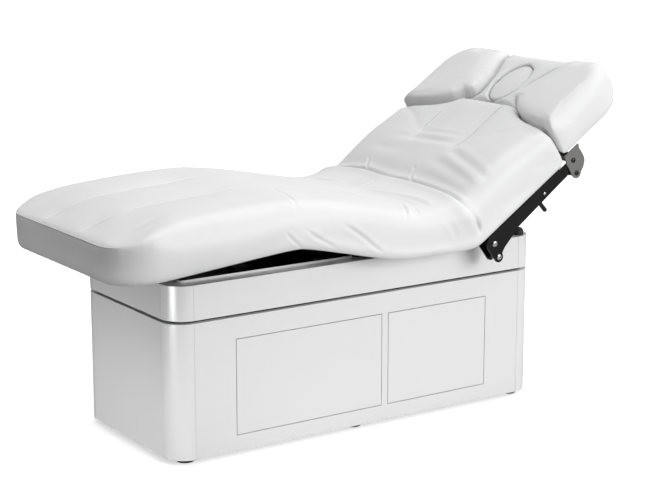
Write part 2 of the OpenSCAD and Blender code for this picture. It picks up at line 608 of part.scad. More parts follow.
head_gas_cylinder();
head_gas_rod();
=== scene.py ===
import json
import math

import bmesh
import bpy
import numpy as np
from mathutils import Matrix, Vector
from mathutils.bvhtree import BVHTree


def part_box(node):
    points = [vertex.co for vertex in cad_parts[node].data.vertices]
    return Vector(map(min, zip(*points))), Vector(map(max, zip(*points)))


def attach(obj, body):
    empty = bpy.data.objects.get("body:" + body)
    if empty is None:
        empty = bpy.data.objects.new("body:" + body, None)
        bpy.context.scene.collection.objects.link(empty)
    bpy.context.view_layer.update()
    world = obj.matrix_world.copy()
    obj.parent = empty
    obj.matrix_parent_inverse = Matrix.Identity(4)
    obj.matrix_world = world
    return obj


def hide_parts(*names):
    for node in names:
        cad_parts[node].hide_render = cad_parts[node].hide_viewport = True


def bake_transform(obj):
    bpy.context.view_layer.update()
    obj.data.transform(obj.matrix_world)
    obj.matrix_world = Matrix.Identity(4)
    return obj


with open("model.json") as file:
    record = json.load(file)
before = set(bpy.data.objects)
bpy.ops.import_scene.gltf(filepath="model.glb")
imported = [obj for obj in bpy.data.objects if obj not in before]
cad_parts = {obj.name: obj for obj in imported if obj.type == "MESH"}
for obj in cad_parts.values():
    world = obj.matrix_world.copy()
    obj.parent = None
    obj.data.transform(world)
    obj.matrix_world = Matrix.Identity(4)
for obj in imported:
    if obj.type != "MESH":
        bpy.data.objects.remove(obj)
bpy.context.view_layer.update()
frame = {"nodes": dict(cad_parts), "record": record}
scene = bpy.context.scene
scene.view_settings.view_transform = "Standard"

# ---------------------------------------------------------------- places
# bench millimetres: x from the outer face of the cabinet's foot end
XC = -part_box("foot_end_panel")[0].x * 1000


def row(x, y, z):
    """bench millimetres to the row frame in metres"""
    return np.stack([(np.asarray(x, float) - XC) / 1000, np.asarray(y, float) / 1000 + 0 * np.asarray(x, float), np.asarray(z, float) / 1000 + 0 * np.asarray(x, float)], -1)


def V(x, y, z):
    return Vector(((x - XC) / 1000, y / 1000, z / 1000))


BA = math.radians(33.5)
CB, SB = math.cos(BA), math.sin(BA)
BX, BZ = 1040.8, 549.5


def back_xz(s, n):
    return BX + s * CB - n * SB, BZ + s * SB + n * CB


def on_back(s, y, n):
    x, z = back_xz(np.asarray(s, float), np.asarray(n, float))
    return row(x, y, z)


def sstep(e0, e1, v):
    t = np.clip((np.asarray(v, float) - e0) / (e1 - e0), 0, 1)
    return t * t * (3 - 2 * t)


# ---------------------------------------------------------------- materials
def nodes_of(name):
    m = bpy.data.materials.new(name)
    m.use_nodes = True
    nt = m.node_tree
    return m, nt, nt.nodes["Principled BSDF"]


def obj_coords(nt, scale=1.0):
    tc = nt.nodes.new("ShaderNodeTexCoord")
    if scale == 1.0:
        return tc.outputs["Object"]
    mp = nt.nodes.new("ShaderNodeMapping")
    mp.inputs["Scale"].default_value = (scale,) * 3 if not hasattr(scale, "__len__") else scale
    nt.links.new(tc.outputs["Object"], mp.inputs["Vector"])
    return mp.outputs["Vector"]


def tex_noise(nt, vec, scale, detail=3.0, rough=0.5, dist=0.0):
    n = nt.nodes.new("ShaderNodeTexNoise")
    n.inputs["Scale"].default_value = scale
    n.inputs["Detail"].default_value = detail
    n.inputs["Roughness"].default_value = rough
    n.inputs["Distortion"].default_value = dist
    nt.links.new(vec, n.inputs["Vector"])
    return n.outputs["Fac"]


def ramp(nt, fac, stops):
    r = nt.nodes.new("ShaderNodeValToRGB")
    while len(r.color_ramp.elements) < len(stops):
        r.color_ramp.elements.new(0.5)
    for el, (p, c) in zip(r.color_ramp.elements, stops):
        el.position = p
        el.color = (*c, 1) if hasattr(c, "__len__") else (c, c, c, 1)
    nt.links.new(fac, r.inputs["Fac"])
    return r.outputs["Color"]


def maprange(nt, v, lo, hi, a=0.0, b=1.0):
    n = nt.nodes.new("ShaderNodeMapRange")
    n.inputs["From Min"].default_value = a
    n.inputs["From Max"].default_value = b
    n.inputs["To Min"].default_value = lo
    n.inputs["To Max"].default_value = hi
    nt.links.new(v, n.inputs["Value"])
    return n.outputs["Result"]


def add_bump(nt, bsdf, fac, strength, distance, under=None):
    b = nt.nodes.new("ShaderNodeBump")
    b.inputs["Strength"].default_value = strength
    b.inputs["Distance"].default_value = distance
    nt.links.new(fac, b.inputs["Height"])
    if under is not None:
        nt.links.new(under, b.inputs["Normal"])
    nt.links.new(b.outputs["Normal"], bsdf.inputs["Normal"])
    return b.outputs["Normal"]


def mat_leather(name, tint=(0.80, 0.802, 0.80), dark=(0.765, 0.768, 0.766)):
    m, nt, b = nodes_of(name)
    vec = obj_coords(nt)
    big = tex_noise(nt, vec, 5.0, 3.0, 0.55)
    nt.links.new(ramp(nt, big, [(0.3, dark), (0.7, tint)]), b.inputs["Base Color"])
    vor = nt.nodes.new("ShaderNodeTexVoronoi")
    vor.feature = "DISTANCE_TO_EDGE"
    vor.inputs["Scale"].default_value = 640
    nt.links.new(vec, vor.inputs["Vector"])
    fine = tex_noise(nt, vec, 1500, 2.0, 0.5)
    soft = tex_noise(nt, vec, 38, 3.0, 0.5)
    n1 = add_bump(nt, b, soft, 0.10, 0.004)
    n2 = add_bump(nt, b, maprange(nt, vor.outputs["Distance"], 0, 1, 0, 0.35), 0.22, 0.0005, n1)
    add_bump(nt, b, fine, 0.12, 0.0002, n2)
    nt.links.new(maprange(nt, soft, 0.40, 0.54), b.inputs["Roughness"])
    b.inputs["Specular IOR Level"].default_value = 0.42
    b.inputs["Sheen Weight"].default_value = 0.08
    b.inputs["Sheen Roughness"].default_value = 0.5
    b.inputs["Coat Weight"].default_value = 0.06
    b.inputs["Coat Roughness"].default_value = 0.32
    return m


def mat_lacquer(name, tint=(0.80, 0.803, 0.80), rough=(0.25, 0.27)):
    m, nt, b = nodes_of(name)
    vec = obj_coords(nt)
    big = tex_noise(nt, vec, 2.2, 3.0, 0.5)
    dk = tuple(c * 0.988 for c in tint)
    nt.links.new(ramp(nt, big, [(0.3, dk), (0.72, tint)]), b.inputs["Base Color"])
    peel = tex_noise(nt, vec, 160, 2.0, 0.5)
    dust = tex_noise(nt, vec, 900, 2.0, 0.6)
    n1 = add_bump(nt, b, peel, 0.012, 0.0005)
    add_bump(nt, b, dust, 0.012, 0.0001, n1)
    nt.links.new(maprange(nt, tex_noise(nt, vec, 24, 2.0, 0.5), rough[0], rough[1], 0.3, 0.7), b.inputs["Roughness"])
    b.inputs["Coat Weight"].default_value = 0.35
    b.inputs["Coat Roughness"].default_value = 0.12
    b.inputs["Specular IOR Level"].default_value = 0.5
    return m


def mat_paint(name, base, lite, rough=(0.28, 0.42), metallic=0.0, bump=0.08, scale=420, coat=0.2, spec=0.5):
    m, nt, b = nodes_of(name)
    vec = obj_coords(nt)
    nt.links.new(ramp(nt, tex_noise(nt, vec, 14, 5.0, 0.6), [(0.35, base), (0.75, lite)]), b.inputs["Base Color"])
    grain = tex_noise(nt, vec, scale, 3.0, 0.6)
    wave = tex_noise(nt, vec, 60, 2.0, 0.5)
    n1 = add_bump(nt, b, wave, bump * 0.5, 0.001)
    add_bump(nt, b, grain, bump, 0.0004, n1)
    nt.links.new(maprange(nt, tex_noise(nt, vec, 35, 5.0, 0.65), rough[0], rough[1], 0.3, 0.7), b.inputs["Roughness"])
    b.inputs["Metallic"].default_value = metallic
    b.inputs["Specular IOR Level"].default_value = spec
    b.inputs["Coat Weight"].default_value = coat
    b.inputs["Coat Roughness"].default_value = 0.2
    return m


def mat_brushed(name, base, lite, axis=(1, 1, 60), rough=(0.16, 0.34)):
    m, nt, b = nodes_of(name)
    lines = tex_noise(nt, obj_coords(nt, axis), 26, 5.0, 0.65)
    nt.links.new(ramp(nt, lines, [(0.3, base), (0.7, lite)]), b.inputs["Base Color"])
    nt.links.new(maprange(nt, lines, rough[0], rough[1], 0.3, 0.7), b.inputs["Roughness"])
    add_bump(nt, b, lines, 0.05, 0.0002)
    b.inputs["Metallic"].default_value = 1.0
    return m


def mat_wood(name):
    """plywood in near-black grey, the grain just showing; the dark colour is painted shade for the underside in the
    cushions' shadow
    """
    m, nt, b = nodes_of(name)
    vec = obj_coords(nt, (1.0, 9.0, 9.0))
    g = tex_noise(nt, vec, 9, 6.0, 0.62, 0.6)
    # painted shade: these near-black greys stand for the shade under the cushions
    nt.links.new(ramp(nt, g, [(0.3, (0.040, 0.040, 0.041)), (0.55, (0.055, 0.055, 0.056)), (0.8, (0.07, 0.07, 0.071))]), b.inputs["Base Color"])
    nt.links.new(maprange(nt, g, 0.5, 0.7), b.inputs["Roughness"])
    add_bump(nt, b, g, 0.15, 0.0006)
    return m


LEATHER = mat_leather("pu_leather_white")
LACQUER = mat_lacquer("white_lacquer_panels")
MATS = {
    "panel_white": LACQUER,
    "white_steel": mat_paint("white_powder_coat", (0.74, 0.742, 0.74), (0.80, 0.80, 0.80), (0.28, 0.4), 0, 0.06, 500, 0.3),
    "black_steel": mat_paint("black_gloss_steel", (0.004, 0.004, 0.004), (0.009, 0.008, 0.008), (0.16, 0.24), 0.0, 0.05, 500, 0.04, 0.26),
    "grey_steel": mat_paint("grey_powder_coat", (0.055, 0.055, 0.057), (0.08, 0.08, 0.083), (0.45, 0.6), 0.0, 0.12, 700, 0.0),
    "screw_steel": mat_brushed("bright_screw_steel", (0.50, 0.50, 0.51), (0.68, 0.68, 0.68)),
    "column_alu": mat_brushed("anodised_column", (0.58, 0.59, 0.60), (0.72, 0.73, 0.74), (60, 60, 1), (0.3, 0.45)),
    "black_plastic": mat_paint("moulded_black_plastic", (0.006, 0.006, 0.006), (0.012, 0.012, 0.012), (0.4, 0.55), 0.0, 0.14, 900, 0.0, 0.3),
    "black_rubber": mat_paint("black_rubber", (0.010, 0.010, 0.010), (0.020, 0.020, 0.019), (0.55, 0.72), 0.0, 0.2, 700, 0.0),
    "plywood": mat_wood("birch_plywood"),
    "box_white": mat_lacquer("white_melamine", (0.74, 0.742, 0.74), (0.4, 0.5)),
    "upholstery": LEATHER,
}
slot_of = {s["node"]: s["material_slot"] for s in frame["record"]["subparts"]}
# painted reflection: the head hinge plates get a grey colour and their screws a dark one, where the same steel as the
# black plates with bright screws shows a brighter reflection
HEAD_PLATE_PAINTED_REFLECTION = mat_paint("grey_plate_painted_reflection", (0.16, 0.158, 0.15), (0.20, 0.198, 0.19), (0.34, 0.46), 0.35, 0.06, 600, 0.1)
HEAD_SCREW_PAINTED_REFLECTION = mat_paint("dark_screw_painted_reflection", (0.012, 0.012, 0.012), (0.03, 0.03, 0.03), (0.25, 0.4), 0.6, 0.06, 600, 0.2)
for n, o in frame["nodes"].items():
    mt = MATS[slot_of[n]]
    # the head plates and their screws take the painted-reflection colours
    if n == "head_hinge_plates":
        mt = HEAD_PLATE_PAINTED_REFLECTION
    if n in ("head_plate_screws", "head_pivot_pins"):
        mt = HEAD_SCREW_PAINTED_REFLECTION
    if not o.material_slots:
        o.data.materials.append(mt)
    for sl in o.material_slots:
        sl.material = mt


# ---------------------------------------------------------------- mesh tools
def new_obj(name, verts, faces, mat=None):
    me = bpy.data.meshes.new(name)
    me.from_pydata([tuple(v) for v in verts], [], faces)
    me.update()
    o = bpy.data.objects.new(name, me)
    scene.collection.objects.link(o)
    if mat:
        me.materials.append(mat)
    return o


def get_co(me):
    co = np.zeros(len(me.vertices) * 3)
    me.vertices.foreach_get("co", co)
    return co.reshape(-1, 3)


def set_co(me, co):
    me.vertices.foreach_set("co", np.asarray(co, np.float32).ravel())
    me.update()


def normals(me):
    n = np.zeros(len(me.vertices) * 3)
    me.vertex_normals.foreach_get("vector", n)
    return n.reshape(-1, 3)


def bake(o, *mods):
    """applies all the object's modifiers by taking the evaluated mesh; mods is not used"""
    dg = bpy.context.evaluated_depsgraph_get()
    me = bpy.data.meshes.new_from_object(o.evaluated_get(dg))
    old = o.data
    o.modifiers.clear()
    o.data = me
    bpy.data.meshes.remove(old)
    return o


def slab(name, outline, lo, hi, voxel, hole=None):
    """a flat plate of that plan outline in millimetres, remeshed to an even grid; returns the object and its coordinates in millimetres"""
    bm = bmesh.new()
    for z in (lo, hi):
        loops = []
        for pts in [outline] + ([hole] if hole is not None else []):
            vs = [bm.verts.new((p[0], p[1], z)) for p in pts]
            es = [bm.edges.new((vs[i], vs[(i + 1) % len(vs)])) for i in range(len(vs))]
            loops.append((vs, es))
        bmesh.ops.triangle_fill(bm, use_beauty=True, use_dissolve=False, edges=[e for l in loops for e in l[1]])
        if z == lo:
            low = loops
        else:
            high = loops
    for (va, _), (vb, _) in zip(low, high):
        for i in range(len(va)):
            j = (i + 1) % len(va)
            bm.faces.new((va[i], va[j], vb[j], vb[i]))
    bmesh.ops.recalc_face_normals(bm, faces=bm.faces)
    me = bpy.data.meshes.new(name)
    bm.to_mesh(me)
    bm.free()
    o = bpy.data.objects.new(name, me)
    scene.collection.objects.link(o)
    m = o.modifiers.new("remesh", "REMESH")
    m.mode = "VOXEL"
    m.voxel_size = voxel
    m.adaptivity = 0
    bake(o)
    return o, get_co(o.data)


def dist_to(outline, pts):
    """distance of each point (N,2) to a closed outline"""
    out = np.full(len(pts), 1e9)
    a = np.asarray(outline, float)
    b = np.roll(a, -1, 0)
    for p, q in zip(a, b):
        d = q - p
        L = d @ d
        if L < 1e-9:
            continue
        t = np.clip(((pts - p) @ d) / L, 0, 1)
        out = np.minimum(out, np.hypot(*(pts - p - t[:, None] * d).T))
    return out


def line_dist(co, pts, closed=False, within=None):
    """distance of each 3-D point to a polyline, and the share of its length reached"""
    P = np.asarray(pts, float)
    if within is not None:
        near = np.flatnonzero(((co > P.min(0) - within) & (co < P.max(0) + within)).all(1))
        r, t_ = line_dist(co[near], P, closed)
        best, at = np.full(len(co), 1e3), np.zeros(len(co))
        best[near], at[near] = r, t_
        return best, at
    if closed:
        P = np.vstack([P, P[:1]])
    seg = np.linalg.norm(np.diff(P, axis=0), axis=1)
    cum = np.concatenate([[0], np.cumsum(seg)])
    best = np.full(len(co), 1e9)
    at = np.zeros(len(co))
    for i in range(len(P) - 1):
        d = P[i + 1] - P[i]
        t = np.clip(((co - P[i]) @ d) / (d @ d), 0, 1)
        r = np.linalg.norm(co - P[i] - t[:, None] * d, axis=1)
        m = r < best
        best[m] = r[m]
        at[m] = (cum[i] + t[m] * seg[i]) / cum[-1]
    return best, at


def drop(d, r):
    t = np.clip(1 - d / r, 0, 1)
    return r * (1 - np.sqrt(np.clip(1 - t * t, 0, 1)))


def smooth(me, times, factor=0.5, keep=None):
    n = len(me.vertices)
    e = np.zeros(len(me.edges) * 2, np.int64)
    me.edges.foreach_get("vertices", e)
    e = e.reshape(-1, 2)
    deg = np.bincount(e.ravel(), minlength=n).astype(float)[:, None]
    co = get_co(me)
    for _ in range(times):
        acc = np.zeros_like(co)
        for k in range(3):
            acc[:, k] = np.bincount(e[:, 0], co[e[:, 1], k], n) + np.bincount(e[:, 1], co[e[:, 0], k], n)
        nxt = co + factor * (acc / deg - co)
        if keep is not None:
            nxt = co + (nxt - co) * (1 - keep[:, None])
        co = nxt
    set_co(me, co)


def puff(o, pins, pressure=4.0, cap=0.014, frames=20, shrink=0.0, tension=14.0):
    """cloth simulation of the cover under the foam's pressure"""
    start = get_co(o.data)
    vg = o.vertex_groups.new(name="held")
    for w in sorted(set(np.round(pins, 2))):
        if w > 0:
            vg.add([int(i) for i in np.flatnonzero(np.round(pins, 2) == w)], float(w), "REPLACE")
    m = o.modifiers.new("cloth", "CLOTH")
    s = m.settings
    s.quality = 4
    s.mass = 0.25
    s.tension_stiffness = tension
    s.compression_stiffness = tension
    s.shear_stiffness = 6
    s.bending_stiffness = 0.8
    s.use_pressure = True
    s.uniform_pressure_force = pressure
    s.shrink_min = shrink
    s.effector_weights.gravity = 0
    s.vertex_group_mass = "held"
    m.collision_settings.use_collision = False
    m.collision_settings.use_self_collision = False
    m.point_cache.frame_start = 1
    m.point_cache.frame_end = frames
    for f in range(1, frames + 1):
        scene.frame_set(f)
    dg = bpy.context.evaluated_depsgraph_get()
    e = o.evaluated_get(dg).to_mesh()
    end = get_co(e)
    o.evaluated_get(dg).to_mesh_clear()
    o.modifiers.clear()
    scene.frame_set(1)
    d = end - start
    r = np.linalg.norm(d, axis=1)
    k = cap * np.tanh(r / cap) / np.maximum(r, 1e-9)
    set_co(o.data, start + d * k[:, None])
    o.vertex_groups.clear()


def subdivide(o, levels=1):
    m = o.modifiers.new("sub", "SUBSURF")
    m.levels = levels
    m.render_levels = levels
    return bake(o)


def finish_piece(o, mat, smooth_shade=True):
    o.data.materials.clear()
    o.data.materials.append(mat)
    o.data.polygons.foreach_set("use_smooth", [smooth_shade] * len(o.data.polygons))
    o.data.update()


def catmull(keys, vals, q):
    """smooth interpolation of rows of vals at keys"""
    keys, vals, q = np.asarray(keys, float), np.asarray(vals, float), np.asarray(q, float)
    m = np.zeros_like(vals)
    dk = np.diff(keys)[:, None]
    sl = np.diff(vals, axis=0) / dk
    m[1:-1] = (sl[1:] * dk[:-1] + sl[:-1] * dk[1:]) / (dk[1:] + dk[:-1])
    m[0], m[-1] = sl[0], sl[-1]
    i = np.clip(np.searchsorted(keys, q) - 1, 0, len(keys) - 2)
    h = (keys[i + 1] - keys[i])[:, None]
    t = ((q - keys[i])[:, None]) / h
    return (2 * t**3 - 3 * t**2 + 1) * vals[i] + (t**3 - 2 * t**2 + t) * h * m[i] + (-2 * t**3 + 3 * t**2) * vals[i + 1] + (t**3 - t**2) * h * m[i + 1]


def arc(cx, cy, r, a0, a1, n):
    return [(cx + r * math.cos(math.radians(a0 + (a1 - a0) * i / n)), cy + r * math.sin(math.radians(a0 + (a1 - a0) * i / n))) for i in range(n + 1)]


def dense(pts, step):
    out = []
    for p, q in zip(pts, pts[1:] + pts[:1]):
        k = max(1, int(math.hypot(q[0] - p[0], q[1] - p[1]) / step))
        out += [(p[0] + (q[0] - p[0]) * i / k, p[1] + (q[1] - p[1]) * i / k) for i in range(k)]
    return out


def tube(name, path, radius, mat, sides=10, closed=False):
    """a round welt or cord along 3-D points in metres, its ends closed flat"""
    P = np.asarray(path, float)
    n = len(P)
    verts, faces = [], []
    ref = np.array([0, 0, 1.0])
    rad = np.full(n, radius, float) if not hasattr(radius, "__len__") else np.asarray(radius)
    for i in range(n):
        a = P[(i - 1) % n] if (closed or i > 0) else P[i]
        b = P[(i + 1) % n] if (closed or i < n - 1) else P[i]
        t = (b - a) / np.linalg.norm(b - a)
        u = np.cross(t, ref)
        if np.linalg.norm(u) < 1e-4:
            u = np.cross(t, [0, 1, 0])
        u /= np.linalg.norm(u)
        v = np.cross(t, u)
        for k in range(sides):
            an = 2 * math.pi * k / sides
            verts.append(P[i] + rad[i] * (math.cos(an) * u + math.sin(an) * v))
    m = n if closed else n - 1
    for i in range(m):
        j = (i + 1) % n
        for k in range(sides):
            l = (k + 1) % sides
            faces.append((i * sides + k, i * sides + l, j * sides + l, j * sides + k))
    if not closed:
        faces.append(tuple(range(sides)))
        faces.append(tuple((n - 1) * sides + k for k in reversed(range(sides))))
    o = new_obj(name, verts, faces, mat)
    o.data.polygons.foreach_set("use_smooth", [len(p.vertices) == 4 for p in o.data.polygons])
    bm = bmesh.new()
    bm.from_mesh(o.data)
    bmesh.ops.recalc_face_normals(bm, faces=bm.faces)
    bm.to_mesh(o.data)
    bm.free()
    return o


# ---------------------------------------------------------------- camera, floor and light
cam = bpy.data.objects.new("camera", bpy.data.cameras.new("camera"))
scene.collection.objects.link(cam)
scene.camera = cam
cam.data.sensor_width = 36
cam.data.lens = 36 * 1723.16 / 650
yaw, pitch = math.radians(33.9006), math.radians(12.2628)
cam.location = (-3.03873, -4.50045, 1.71192)
look = Vector((math.sin(yaw) * math.cos(pitch), math.cos(yaw) * math.cos(pitch), -math.sin(pitch)))
cam.rotation_mode = "QUATERNION"
cam.rotation_quaternion = look.to_track_quat("-Z", "Y")
cam.data.clip_start, cam.data.clip_end = 0.05, 150

def floor(name, z, half, lo, hi, glow):
    o = new_obj(name, [(-half, -half, z), (half, -half, z), (half, half, z), (-half, half, z)], [(0, 1, 2, 3)])
    mf, nt, b = nodes_of(name + "_paint")
    nt.links.new(ramp(nt, tex_noise(nt, obj_coords(nt), 1.5, 2, 0.5), [(0.3, (lo, lo, lo)), (0.7, (hi, hi, hi))]), b.inputs["Base Color"])
    b.inputs["Roughness"].default_value = 0.6
    b.inputs["Specular IOR Level"].default_value = 0.1
    b.inputs["Emission Color"].default_value = (1, 1, 1, 1)
    b.inputs["Emission Strength"].default_value = glow
    o.data.materials.append(mf)
    return o


fl = floor("studio_floor", 0, 45, 0.90, 0.92, 0.58)
for kind in ("diffuse", "glossy", "transmission"):
    setattr(fl, "visible_" + kind, False)
under = floor("studio_floor_bounce", -0.002, 45, 0.50, 0.54, 0.0)
under.visible_camera = False
# grey cloth laid at the foot side, seen only by the bounced light
nt = under.data.materials[0].node_tree
sx = nt.nodes.new("ShaderNodeSeparateXYZ")
nt.links.new(obj_coords(nt), sx.inputs[0])
nt.links.new(ramp(nt, maprange(nt, sx.outputs[0], 0, 1, -1.0, -0.35), [(0.0, (0.05, 0.05, 0.05)), (1.0, (0.80, 0.80, 0.80))]), nt.nodes["Principled BSDF"].inputs["Base Color"])


def area(name, loc, target, size, energy, size_y=None, color=(1, 1, 1)):
    d = bpy.data.lights.new(name, "AREA")
    d.shape = "RECTANGLE"
    d.size, d.size_y = size, size_y or size
    d.energy = energy
    d.color = color
    o = bpy.data.objects.new(name, d)
    scene.collection.objects.link(o)
    o.location = loc
    o.rotation_mode = "QUATERNION"
    o.rotation_quaternion = (Vector(target) - Vector(loc)).to_track_quat("-Z", "Y")
    return o


area("key_front_right", (2.2, -5.6, 2.2), (0.2, 0, 0.5), 3.6, 205, 2.4)
area("top_soft", (-0.2, 0.2, 4.8), (0.3, 0, 0.6), 3.4, 84, 3.0)
area("rim_back_left", (-2.0, 4.4, 2.6), (-0.2, 0.2, 0.7), 2.4, 14, 1.6)
low = area("low_left", (-2.5, -0.5, 0.13), (-0.74, 0, 0.14), 1.6, 3.4, 0.22)
low.data.spread = math.radians(52)


def flag(name, corners):
    """a dark card beside the set, which the camera doesn't see"""
    o = new_obj(name, corners, [(0, 1, 2, 3)])
    mc, nt, b = nodes_of(name + "_cloth")
    nt.links.new(ramp(nt, tex_noise(nt, obj_coords(nt), 30, 2, 0.5), [(0.3, (0.02, 0.02, 0.02)), (0.7, (0.03, 0.03, 0.03))]), b.inputs["Base Color"])
    b.inputs["Roughness"].default_value = 0.9
    o.data.materials.append(mc)
    o.visible_camera = False
    o.visible_shadow = True
    return o


flag("flag_foot_side", [(-2.7, -1.6, 0.02), (-2.7, 2.6, 0.02), (-2.7, 2.6, 2.1), (-2.7, -1.6, 2.1)])

world = bpy.data.worlds.new("studio_world")
scene.world = world
world.use_nodes = True
wt = world.node_tree
bg = wt.nodes["Background"]
lp = wt.nodes.new("ShaderNodeLightPath")
tcw = wt.nodes.new("ShaderNodeTexCoord")
sep = wt.nodes.new("ShaderNodeSeparateXYZ")
wt.links.new(tcw.outputs["Generated"], sep.inputs[0])
mr = wt.nodes.new("ShaderNodeMapRange")
mr.interpolation_type = "SMOOTHSTEP"
mr.inputs["From Min"].default_value = -0.7
mr.inputs["From Max"].default_value = 0.1
mr.inputs["To Min"].default_value = 1.0
mr.inputs["To Max"].default_value = 0.0
wt.links.new(sep.outputs[0], mr.inputs["Value"])
mz = wt.nodes.new("ShaderNodeMapRange")
mz.interpolation_type = "SMOOTHSTEP"
mz.inputs["From Min"].default_value = 0.5
mz.inputs["From Max"].default_value = 0.92
mz.inputs["To Min"].default_value = 1.0
mz.inputs["To Max"].default_value = 0.0
wt.links.new(sep.outputs[2], mz.inputs["Value"])
mm = wt.nodes.new("ShaderNodeMath")
mm.operation = "MULTIPLY"
wt.links.new(mr.outputs["Result"], mm.inputs[0])
wt.links.new(mz.outputs["Result"], mm.inputs[1])
lit = wt.nodes.new("ShaderNodeMapRange")
lit.inputs["To Min"].default_value = 0.66
lit.inputs["To Max"].default_value = 0.03
wt.links.new(mm.outputs[0], lit.inputs["Value"])
mx = wt.nodes.new("ShaderNodeMix")
mx.data_type = "FLOAT"
wt.links.new(lp.outputs["Is Camera Ray"], mx.inputs[0])
wt.links.new(lit.outputs["Result"], mx.inputs[2])
mx.inputs[3].default_value = 1.0
wt.links.new(mx.outputs[0], bg.inputs["Strength"])
bg.inputs["Color"].default_value = (1, 1, 1, 1)

# ---------------------------------------------------------------- mattress body, foot end to neck
HM = 400.0
FOOT_R = 139.0
L_CALF, L_THIGH, L_SEAT = 600.0, 352.0, 315.2
A_KNEE, A_HIP, A_BACK = L_CALF, L_CALF + L_THIGH, L_CALF + L_THIGH + L_SEAT
# length along the underside, then the underside's x and z, then the top edge's x and z
ST = [
    (0, -214, 575, -219, 696),
    (54, -160, 579.6, -167, 706),
    (109, -105, 585, -113, 723.5),
    (184, -31, 591.5, -40, 738),
    (282, 67, 600.8, 57, 747),
    (366, 150, 608.6, 141, 753),
    (484, 268, 619.6, 262, 758.5),
    (562, 345, 625.5, 346, 759),
    (600, 382, 626.5, 393, 757.5),
    (640, 421, 620, 445, 751.5),
    (710, 490, 604.8, 516, 742.0),
    (782, 560, 588.4, 590, 729),
    (864, 640, 569.6, 667, 714),
    (926, 700, 556.5, 724, 703.5),
    (986, 760, 548, 768, 694),
    (1056, 830, 546.5, 822, 686),
    (1126, 900, 546.5, 878, 686),
    (1186, 960, 546.5, 928, 693),
    (1231, 1005, 546.8, 966, 698),
    (1267, 1041, 552, 992, 702),
    (1295, 1064, 565, 1008, 709),
] + [(A_BACK + s, *back_xz(s, nb), *back_xz(t, n)) for s, nb, t, n in (
    (60, 0, 74, 150), (110, 0, 120, 153.5), (180, 0, 186, 156.5), (250, 0, 252, 156.5), (330, 0, 330, 150), (410, 0, 410, 145), (470, 0, 470, 141), (520, 0, 520, 138))]
ST = np.array(ST, float)
SHOULDER = [(419, 400), (433, 352), (441, 306), (449, 262), (457, 229), (469, 196), (486, 161), (496, 151), (505, 146), (513, 140)]
body_plan = (
    arc(FOOT_R, -HM + FOOT_R, FOOT_R, 180, 270, 18)
    + [(A_BACK + s, -y) for s, y in SHOULDER]
    + [(A_BACK + 514, 100), (A_BACK + 514, 100)][:0]
    + [(A_BACK + s, y) for s, y in reversed(SHOULDER)]
    + arc(FOOT_R, HM - FOOT_R, FOOT_R, 90, 180, 18)
)
body_plan = dense(body_plan, 30)
VOX = 9.0
master, pc = slab("mattress_master", body_plan, 0, 140, VOX)
a, y, f = pc[:, 0], pc[:, 1], np.clip(pc[:, 2] / 140, 0, 1)
A0, Y0, F0 = a.copy(), y.copy(), f.copy()
dd = dist_to(body_plan, pc[:, :2])
sec = catmull(ST[:, 0], ST[:, 1:], np.clip(a, 0, A_BACK + 520))
T = np.hypot(sec[:, 2] - sec[:, 0], sec[:, 3] - sec[:, 1])
soft = sstep(60, 190, a)
r_top = 8 + 24 * soft
r_top = np.where(a > A_BACK + 330, 32 - 14 * sstep(A_BACK + 330, A_BACK + 430, a) * (1 - sstep(330, 380, np.abs(y))), r_top)
r_bot = 11.0
crown = (3 + 7 * soft) * (1 - (np.abs(y) / HM) ** 2.4)
n_top = T + crown - drop(dd, r_top)
n_bot = drop(dd, r_bot)
n = n_bot + f * (n_top - n_bot)
# sides belly out a little between the edges
belly = 3.5 * np.sin(np.pi * f) * (1 - sstep(0, 14, dd))
yy = y * (1 - 2.5 / HM) + np.sign(y) * belly * sstep(300, 395, np.abs(y))
k = n / T
bx, bz, tx, tz = sec.T
P = row(bx + (tx - bx) * k, yy, bz + (tz - bz) * k)
set_co(master.data, P)
smooth(master.data, 4, 0.5)

# sewn lines held down while the cover is blown up
def hold_lines(y0, y1, a0, a1):
    w = np.exp(-(((np.abs(Y0) - 116) / 9) ** 2)) * sstep(a0 - 20, a0 + 20, A0) * (1 - sstep(a1 - 20, a1 + 20, A0))
    return w * (F0 > 0.5)


pins = np.maximum(np.where(F0 < 0.12, 1.0, 0.0), 0.0)
pins = np.maximum(pins, 0.9 * hold_lines(0, 0, 0, 500))
pins = np.maximum(pins, 0.9 * hold_lines(0, 0, A_BACK + 240, A_BACK + 520))
pins = np.maximum(pins, np.where((F0 > 0.93) & (A0 < 26) & (dd < 12), 1.0, 0.0))
pins = np.maximum(pins, np.where((dd < 6) & (A0 > A_BACK + 400) & (np.abs(Y0) < 392), 1.0, 0.0))
puff(master, pins, pressure=4.0, cap=0.009, frames=16)
smooth(master.data, 2, 0.5)
subdivide(master)

# ---------------------------------------------------------------- folds and seams
def laid_on(me, pts, off=0.0):
    """points moved to the nearest place on a mesh, then out along its normal"""
    tree = BVHTree.FromPolygons([v.co.copy() for v in me.vertices], [tuple(p.vertices) for p in me.polygons])
    out = []
    for p in pts:
        c, nn, _, _ = tree.find_nearest(Vector(p))
        out.append(c + nn * off)
    return np.array(out)


def lay(path):
    """a smooth line through bench points in millimetres, laid on the cover, in metres"""
    pts = row(*np.array(path, float).T)
    pts = catmull(np.linspace(0, 1, len(pts)), pts, np.linspace(0, 1, 7 * len(pts)))
    return laid_on(master.data, pts)


def refine(paths, reach):
    """halves the cells of the cover near those lines"""
    co = get_co(master.data)
    near = np.zeros(len(co), bool)
    for path in paths:
        near |= line_dist(co, path, within=reach / 1000)[0] < reach / 1000
    bm = bmesh.new()
    bm.from_mesh(master.data)
    bm.verts.ensure_lookup_table()
    es = [e for e in bm.edges if near[e.verts[0].index] and near[e.verts[1].index]]
    bmesh.ops.subdivide_edges(bm, edges=es, cuts=1, use_grid_fill=True)
    bm.to_mesh(master.data)
    bm.free()


